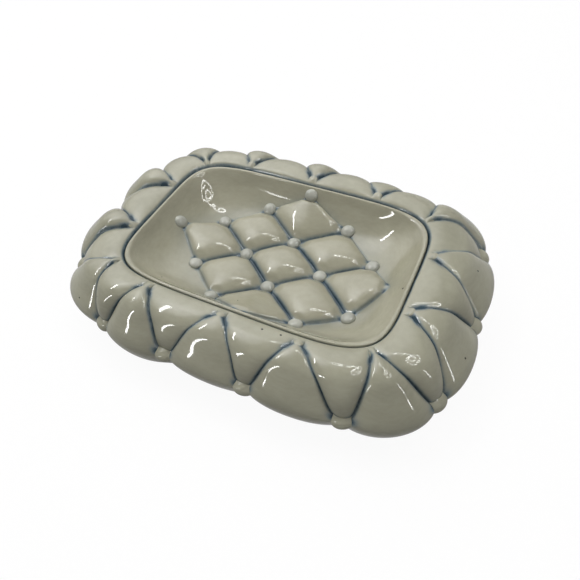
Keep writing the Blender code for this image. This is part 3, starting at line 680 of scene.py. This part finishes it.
def press_button(node, tree, wide, tall, height, softness, lower, dice):
    """A dome set in the skin, in place of a solid button."""
    centre, outward = flat_side(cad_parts[node])
    side = Vector((0, 0, 1)).cross(outward) if outward.z < 0.9 else outward.orthogonal()
    side = side.normalized()
    other = outward.cross(side)
    centre = centre - other * lower * MM
    lean, turn = dice.uniform(-0.08, 0.08, 2), dice.uniform(0, 6.28)

    def base(share, angle):
        """A place on the button's base, part of the way out to its brim."""
        reach = share * (1 + 0.03 * math.sin(2 * angle + turn)) * MM
        return centre + (side * wide * math.cos(angle) + other * tall * math.sin(angle)) * reach

    angles = [2 * math.pi * spoke / SPOKES for spoke in range(SPOKES)]
    skin_heights = []
    for angle in angles:
        foot = base(0.9, angle)
        hit = tree.ray_cast(foot + outward * RAY_START, -outward, RAY_REACH)[0]
        if hit:
            skin_heights.append((hit - foot).dot(outward))
    level = min(skin_heights)
    height = height * MM + sum(skin_heights) / len(skin_heights) - level

    points = []
    for ring in range(HOOPS + 1):
        quarter = 0.5 * math.pi * ring / HOOPS
        cap = height * math.cos(quarter) ** softness if ring < HOOPS else 0.0
        for angle in angles if ring else angles[:1]:
            tilt = 1 + math.sin(quarter) * (lean[0] * math.cos(angle) + lean[1] * math.sin(angle))
            points.append(base(math.sin(quarter), angle) + outward * (level + cap * tilt))
    points += [base(0.95, angle) + outward * (level - ROOT) for angle in angles]
    points.append(centre + outward * (level - ROOT))
    faces = [(0, 1 + k, 1 + (k + 1) % SPOKES) for k in range(SPOKES)]
    faces += grid_faces(HOOPS + 1, SPOKES, 1)
    last = 1 + HOOPS * SPOKES
    faces += [(last + k, len(points) - 1, last + (k + 1) % SPOKES) for k in range(SPOKES)]
    placed = np.array([p[:] for p in points]) / MM - MIDDLE
    button = clay("clay_" + node, placed, faces)
    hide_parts(node)
    return button


print("a button has", (HOOPS + 1) * SPOKES + 2, "points")

# %% All the buttons
# half width, half height, how far it stands out, softness, how far below its solid
BUTTONS = {"basin_button": (2.85, 2.85, 1.6, 0.9, 0.0),
           "rim_button": (1.7, 1.7, 0.3, 1.6, 0.0),
           "skirt_button": (4.4, 2.6, 2.2, 0.85, -0.6)}
dice = np.random.default_rng(7)
trees = {"basin_button": skin_tree(quilted_basin), "rim_button": skin_tree(tufted_ring)}
trees["skirt_button"] = trees["rim_button"]
buttons = []
for node in sorted(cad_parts):
    kind = node.rsplit("_", 1)[0]
    if kind in BUTTONS:
        buttons.append(press_button(node, trees[kind], *BUTTONS[kind], dice))
print(len(buttons), "buttons pressed on")

# %% [markdown]
# ## Glaze
# Celadon is a thick, glassy, grey-green glaze coloured by a little iron. Here a
# blue oxide was brushed into the creases first, and the glaze carried it along:
# the deeper it pools, the bluer and darker it looks. Three effects are shared
# by all the glazed pieces, so each is a node group: the pooling colour, the
# faint clouds and streaks of the fired surface, and the small iron specks.

# %% Helpers for node trees
def new_group(name, inputs, outputs):
    """A shared effect, with its labelled inputs and outputs."""
    group = bpy.data.node_groups.new(name, "ShaderNodeTree")
    for label, kind, value in inputs:
        socket = group.interface.new_socket(label, in_out="INPUT", socket_type=kind)
        socket.default_value = value
    for label, kind in outputs:
        group.interface.new_socket(label, in_out="OUTPUT", socket_type=kind)
    return group, group.nodes.new("NodeGroupInput"), group.nodes.new("NodeGroupOutput")


def plug(tree, socket, value):
    """Set a socket to a number or a colour, or link it to another node."""
    if isinstance(value, (int, float, tuple)):
        socket.default_value = value
    else:
        tree.links.new(value, socket)


def maths(tree, operation, a, b=None, clamp=False):
    """One step of arithmetic, held between 0 and 1 if clamp is set."""
    node = tree.nodes.new("ShaderNodeMath")
    node.operation = operation
    node.use_clamp = clamp
    plug(tree, node.inputs[0], a)
    if b is not None:
        plug(tree, node.inputs[1], b)
    return node.outputs[0]


def plus(tree, a, b, clamp=False):
    return maths(tree, "ADD", a, b, clamp)


def minus(tree, a, b):
    return maths(tree, "SUBTRACT", a, b)


def times(tree, a, b, clamp=False):
    return maths(tree, "MULTIPLY", a, b, clamp)


def mix_colour(tree, factor, a, b):
    """One colour turning into another. The node's sockets 6 and 7 are its colours."""
    node = tree.nodes.new("ShaderNodeMix")
    node.data_type = "RGBA"
    plug(tree, node.inputs["Factor"], factor)
    plug(tree, node.inputs[6], a)
    plug(tree, node.inputs[7], b)
    return node.outputs[2]


def noise(tree, place, scale, detail, roughness=0.5):
    """Soft random clouds, from 0 to 1."""
    node = tree.nodes.new("ShaderNodeTexNoise")
    node.inputs["Scale"].default_value = scale
    node.inputs["Detail"].default_value = detail
    node.inputs["Roughness"].default_value = roughness
    tree.links.new(place, node.inputs["Vector"])
    return node.outputs["Fac"]


def on_piece(tree):
    """The place on a piece, in metres from the frame's middle."""
    return tree.nodes.new("ShaderNodeTexCoord").outputs["Object"]


print("helpers for node trees")

# %% Clouds and specks
CLOUD_STRETCH = (1.0, 1.0, 3.5)
clouds, feed, give = new_group(
    "fired_clouds", [("Strength", "NodeSocketFloat", 2.3)],
    [(label, "NodeSocketFloat") for label in ("Mask", "Shade", "Height")])
stretch = clouds.nodes.new("ShaderNodeMapping")
stretch.inputs["Scale"].default_value = CLOUD_STRETCH
clouds.links.new(on_piece(clouds), stretch.inputs["Vector"])
wide = noise(clouds, stretch.outputs[0], 45.0, 3.0)
fine = noise(clouds, stretch.outputs[0], 420.0, 4.0)
mask = plus(clouds, times(clouds, wide, 0.7), times(clouds, fine, 0.3))
swing = times(clouds, minus(clouds, mask, 0.5), feed.outputs["Strength"])
clouds.links.new(mask, give.inputs["Mask"])
clouds.links.new(plus(clouds, swing, 0.5, True), give.inputs["Shade"])
clouds.links.new(noise(clouds, on_piece(clouds), 140.0, 2.0), give.inputs["Height"])

SPECKS_PER_METRE, SPECK_SIZE, SPECK_BAR = 210.0, 0.085, 1.12
specks, feed, give = new_group("iron_specks", [("Amount", "NodeSocketFloat", 0.5)],
                               [("Mask", "NodeSocketFloat")])
spots = specks.nodes.new("ShaderNodeTexVoronoi")
spots.inputs["Scale"].default_value = SPECKS_PER_METRE
specks.links.new(on_piece(specks), spots.inputs["Vector"])
small = maths(specks, "LESS_THAN", spots.outputs["Distance"], SPECK_SIZE)
chance = plus(specks, noise(specks, on_piece(specks), 60.0, 1.0), feed.outputs["Amount"])
chosen = maths(specks, "GREATER_THAN", chance, SPECK_BAR)
specks.links.new(times(specks, small, chosen), give.inputs["Mask"])
print("glaze effects:", clouds.name, specks.name)

# %% Pooling
# The ink that each point noted gets a feathered edge. A thin layer of it turns
# the glaze grey-blue, and a deep one dark blue. Along the seam the same ink
# is painted shade as well as pooled glaze.
INK_EDGE, INK_DEEP = (0.165, 0.202, 0.206, 1), (0.035, 0.068, 0.094, 1)
FEATHER, UNEVEN = 0.55, 0.9
pooling, feed, give = new_group(
    "pooled_glaze", [("Body", "NodeSocketColor", (0.337, 0.331, 0.247, 1))],
    [("Color", "NodeSocketColor")])
noted = pooling.nodes.new("ShaderNodeAttribute")
noted.attribute_name = "pool_and_seam_shade"
ink = noted.outputs["Fac"]
feather = minus(pooling, noise(pooling, on_piece(pooling), 900.0, 3.0, 0.7), 0.5)
uneven = minus(pooling, noise(pooling, on_piece(pooling), 110.0, 2.0), 0.5)
swing = plus(pooling, times(pooling, feather, FEATHER), times(pooling, uneven, UNEVEN))
depth = plus(pooling, ink, times(pooling, swing, times(pooling, ink, 1.6, True)), True)
halo = mix_colour(pooling, times(pooling, depth, 2.4, True), feed.outputs["Body"], INK_EDGE)
deep_share = times(pooling, minus(pooling, depth, 0.38), 2.2, True)
pooling.links.new(mix_colour(pooling, deep_share, halo, INK_DEEP), give.inputs["Color"])
print("glaze effect:", pooling.name)

# %% [markdown]
# ## One glaze, three mixes
# The dish came out of one bucket of glaze. It lies a little warmer in the basin,
# and thinner, so paler and bluer, on the small round buttons of the floor. The
# rim and skirt buttons are glazed with the ring, so they share its mix. Each mix
# is its own material with its own numbers. Roughness is low and even, because
# fired glaze is glass.

# %% Mix the glazes
DARK_CLOUD, SPECK_COLOUR = 0.86, (0.045, 0.04, 0.032, 1)


def effect(tree, group):
    """Place one of the shared effects in a material."""
    node = tree.nodes.new("ShaderNodeGroup")
    node.node_tree = group
    return node


def mix_glaze(name, body, pale, cloud_strength, speck_amount, roughness):
    """A glaze that drifts between a darker and a paler cloud of its colour."""
    material = bpy.data.materials.new(name)
    material.use_nodes = True
    tree = material.node_tree
    shader = tree.nodes["Principled BSDF"]
    shader.inputs["IOR"].default_value = 1.52
    cloudy, pooled, spotted = (effect(tree, group) for group in (clouds, pooling, specks))
    cloudy.inputs["Strength"].default_value = cloud_strength
    spotted.inputs["Amount"].default_value = speck_amount
    dark = tuple(value * DARK_CLOUD for value in body)
    base = mix_colour(tree, cloudy.outputs["Shade"], (*dark, 1), (*pale, 1))
    tree.links.new(base, pooled.inputs["Body"])
    colour = mix_colour(tree, spotted.outputs["Mask"], pooled.outputs["Color"], SPECK_COLOUR)
    tree.links.new(colour, shader.inputs["Base Color"])
    shine = plus(tree, times(tree, cloudy.outputs["Mask"], 0.05), roughness - 0.025)
    tree.links.new(shine, shader.inputs["Roughness"])
    ripple = tree.nodes.new("ShaderNodeBump")
    ripple.inputs["Strength"].default_value = 0.02
    ripple.inputs["Distance"].default_value = 0.0004
    tree.links.new(cloudy.outputs["Height"], ripple.inputs["Height"])
    tree.links.new(ripple.outputs["Normal"], shader.inputs["Normal"])
    return material


ring_glaze = mix_glaze(
    "celadon_on_ring", body=(0.337, 0.331, 0.247), pale=(0.38, 0.373, 0.284),
    cloud_strength=2.3, speck_amount=0.53, roughness=0.06)
basin_glaze = mix_glaze(
    "celadon_in_basin", body=(0.337, 0.326, 0.239), pale=(0.383, 0.371, 0.279),
    cloud_strength=2.3, speck_amount=0.5, roughness=0.06)
button_glaze = mix_glaze(
    "celadon_on_buttons", body=(0.385, 0.395, 0.345), pale=(0.45, 0.455, 0.4),
    cloud_strength=3.0, speck_amount=0.42, roughness=0.09)
tufted_ring.data.materials.append(ring_glaze)
quilted_basin.data.materials.append(basin_glaze)
for button in buttons:
    on_floor = button.name.startswith("clay_basin")
    button.data.materials.append(button_glaze if on_floor else ring_glaze)
print("glazes:", [m.name for m in (ring_glaze, basin_glaze, button_glaze)])

# %% [markdown]
# ## The table and the lights
# The photograph shows the dish on pure white. So the floor answers the camera
# with plain white, and gives the dish only the light of a greyer paper. Glaze
# shows its lamps: a broad soft panel overhead and one at the side veil the
# crowns, three bare tubes leave bright bars, and two lamps drawn as thin rings
# and bars leave the small crisp marks that cross the pillows.

# %% White floor and room
SPAN, SEEN_IN_GLAZE, ROOM_LIGHT = 3.0, 0.4, 0.17
floor_mesh = bpy.data.meshes.new("floor")
corners = [(x * SPAN, y * SPAN, 0) for x, y in ((-1, -1), (1, -1), (1, 1), (-1, 1))]
floor_mesh.from_pydata(corners, [], [(0, 1, 2, 3)])
floor = bpy.data.objects.new("floor", floor_mesh)
bpy.context.scene.collection.objects.link(floor)


def seen_directly(tree):
    """One for light that the camera sees straight, less in a gloss, else nought."""
    rays = tree.nodes.new("ShaderNodeLightPath").outputs
    mirrored = maths(tree, "MAXIMUM", rays["Is Glossy Ray"], rays["Is Transmission Ray"])
    return maths(tree, "MAXIMUM", rays["Is Camera Ray"], times(tree, mirrored, SEEN_IN_GLAZE))


def white_light(tree, kind):
    """Plain white light from a node of a given kind."""
    white = tree.nodes.new(kind)
    white.inputs["Color"].default_value = (1, 1, 1, 1)
    white.inputs["Strength"].default_value = 1.0
    return white.outputs[0]


def mix_shaders(tree, factor, a, b):
    """One shader turning into another."""
    mix = tree.nodes.new("ShaderNodeMixShader")
    for socket, value in zip(mix.inputs, (factor, a, b)):
        plug(tree, socket, value)
    return mix.outputs[0]


paper = bpy.data.materials.new("white_paper")
paper.use_nodes = True
tree = paper.node_tree
shader = tree.nodes["Principled BSDF"]
shader.inputs["Base Color"].default_value = (0.23, 0.23, 0.22, 1)
shader.inputs["Roughness"].default_value = 0.9
sheet = tree.nodes.new("ShaderNodeBsdfDiffuse")
sheet.inputs["Color"].default_value = (0.95, 0.95, 0.95, 1)
shown = mix_shaders(tree, 0.94, sheet.outputs[0], white_light(tree, "ShaderNodeEmission"))
tree.links.new(mix_shaders(tree, seen_directly(tree), shader.outputs[0], shown),
               tree.nodes["Material Output"].inputs["Surface"])
floor_mesh.materials.append(paper)

room = bpy.data.worlds.new("room")
bpy.context.scene.world = room
room.use_nodes = True
tree = room.node_tree
air = tree.nodes["Background"]
air.inputs["Color"].default_value = (1.0, 0.98, 0.95, 1)
air.inputs["Strength"].default_value = ROOM_LIGHT
shown = white_light(tree, "ShaderNodeBackground")
tree.links.new(mix_shaders(tree, seen_directly(tree), air.outputs[0], shown),
               tree.nodes["World Output"].inputs["Surface"])
print("floor and room")

# %% Lamps
def panel(name, place, size, radiance, roll=0):
    """A flat lamp that faces the dish, rolled by some degrees.

    Its size is in metres, and its brightness is the same however large it is.
    """
    lamp = bpy.data.lights.new(name, "AREA")
    lamp.shape = "RECTANGLE"
    lamp.size, lamp.size_y = size
    lamp.energy = radiance * size[0] * size[1] * math.pi
    thing = bpy.data.objects.new(name, lamp)
    thing.location = place
    facing = (-Vector(place)).to_track_quat("-Z", "Y")
    thing.rotation_euler = (facing @ Quaternion((0, 0, 1), math.radians(roll))).to_euler()
    bpy.context.scene.collection.objects.link(thing)
    return thing


def lamp_face(thing):
    """The glow of a lamp's face, and the place on it, from 0 to 1 each way."""
    thing.data.use_nodes = True
    tree = thing.data.node_tree
    glow = next(node for node in tree.nodes if node.bl_idname == "ShaderNodeEmission")
    split = tree.nodes.new("ShaderNodeSeparateXYZ")
    tree.links.new(tree.nodes.new("ShaderNodeNewGeometry").outputs["Parametric"], split.inputs[0])
    return tree, glow.inputs["Strength"], split.outputs[0], split.outputs[1]


def soften(thing):
    """Let a panel fade out toward its edges, as a lamp behind cloth does."""
    tree, glow, u, v = lamp_face(thing)
    waves = [maths(tree, "SINE", times(tree, place, math.pi)) for place in (u, v)]
    tree.links.new(times(tree, *waves), glow)


def within(tree, value, reach):
    """One where a value is closer to nought than the reach."""
    return maths(tree, "LESS_THAN", maths(tree, "ABSOLUTE", value), reach)


def draw_shapes(thing, rings, bars):
    """Light only thin rings and bars on a lamp's face; all sizes are shares of it."""
    tree, glow, u, v = lamp_face(thing)
    masks = []
    for (x, y), radius, squash, band in rings:
        dx, dy = minus(tree, u, x), maths(tree, "DIVIDE", minus(tree, v, y), squash)
        away = maths(tree, "SQRT", plus(tree, times(tree, dx, dx), times(tree, dy, dy)))
        masks.append(within(tree, minus(tree, away, radius), band / 2))
    for (x, y), lean, long, band in bars:
        dx, dy = minus(tree, u, x), minus(tree, v, y)
        c, s = math.cos(math.radians(lean)), math.sin(math.radians(lean))
        along = plus(tree, times(tree, dx, c), times(tree, dy, s))
        beside = minus(tree, times(tree, dy, c), times(tree, dx, s))
        masks.append(times(tree, within(tree, along, long / 2), within(tree, beside, band / 2)))
    lit = masks[0]
    for mask in masks[1:]:
        lit = maths(tree, "MAXIMUM", lit, mask)
    tree.links.new(lit, glow)


def toward(azimuth, height, distance):
    """A place from a compass angle from the near side, a height angle and metres."""
    a, h = math.radians(azimuth), math.radians(height)
    flat = distance * math.cos(h)
    return flat * math.sin(a), -flat * math.cos(a), distance * math.sin(h)


print("helpers for lamps")

# %% Set up the lamps
# each panel: place, size, brightness and roll
soften(panel("overhead", (-0.72, 0.66, 1.05), (2.6, 2.2), 1.89))
soften(panel("side_light", toward(-105, 60, 1.2), (0.9, 0.7), 2.7))
panel("tube_left", toward(-33, 22, 1.5), (0.6, 0.065), 25, 64)
panel("tube_high", toward(-74, 53, 0.9), (0.34, 0.026), 30, -35)
panel("tube_right", toward(84, 26, 1.5), (0.45, 0.035), 26, 90)
round_lamp = panel("round_lamp", toward(110, 66, 0.7), (0.34, 0.34), 21)
looped_lamp = panel("looped_lamp", toward(180, 72, 0.7), (0.34, 0.22), 22)

# each ring: middle, radius, squash, band; each bar: middle, lean, length, band
draw_shapes(round_lamp,
            [((0.5, 0.5), 0.45, 0.8, 0.04), ((0.62, 0.6), 0.2, 0.8, 0.04)],
            [((0.4, 0.3), -30, 0.3, 0.04)])
draw_shapes(looped_lamp,
            [((0.62, 0.5), 0.22, 0.6, 0.025), ((0.72, 0.5), 0.1, 1.4, 0.025)],
            [((0.2, 0.45), 10, 0.36, 0.035), ((0.28, 0.5), 80, 0.3, 0.02),
             ((0.42, 0.55), -50, 0.3, 0.02)])

# %% [markdown]
# ## The camera
# The camera stands close, a hand's length above and in front, so the near
# pillows look larger than the far ones. Its place was found by matching the
# seam and the buttons to the photograph.

# %% Camera
CAMERA_AZIMUTH, CAMERA_HEIGHT, CAMERA_ROLL = (math.radians(v) for v in (31.811, 52.796, 6.65))
CAMERA_DISTANCE, CAMERA_TARGET = 159.065, Vector((17.614, -30.504, 0))
FOCAL_PIXELS, PICTURE, SENSOR = 468.115, 580, 36
CENTRE_X, CENTRE_Y = 279.366, 313.589
back = Vector((math.sin(CAMERA_AZIMUTH) * math.cos(CAMERA_HEIGHT),
               -math.cos(CAMERA_AZIMUTH) * math.cos(CAMERA_HEIGHT), math.sin(CAMERA_HEIGHT)))
level_right = (-back).cross(Vector((0, 0, 1))).normalized()
level_down = (-back).cross(level_right)
right = level_right * math.cos(CAMERA_ROLL) + level_down * math.sin(CAMERA_ROLL)
down = level_down * math.cos(CAMERA_ROLL) - level_right * math.sin(CAMERA_ROLL)
camera = bpy.data.objects.new("camera", bpy.data.cameras.new("camera"))
bpy.context.scene.collection.objects.link(camera)
bpy.context.scene.camera = camera
seam_middle = Vector((MIDDLE[0], MIDDLE[1], SEAM_HEIGHT))
spot = (CAMERA_TARGET + back * CAMERA_DISTANCE + seam_middle) * MM
turned = np.eye(4)
turned[:3, 0], turned[:3, 1], turned[:3, 2], turned[:3, 3] = right, -down, back, spot
camera.matrix_world = Matrix(turned.tolist())
camera.data.sensor_width = SENSOR
camera.data.lens = FOCAL_PIXELS / PICTURE * SENSOR
camera.data.shift_x = (PICTURE / 2 - CENTRE_X) / PICTURE
camera.data.shift_y = (CENTRE_Y - PICTURE / 2) / PICTURE
camera.data.clip_start = 0.005
bpy.context.scene.view_settings.view_transform = "Standard"
print("camera at", [round(v, 3) for v in spot], "lens", round(camera.data.lens, 1))
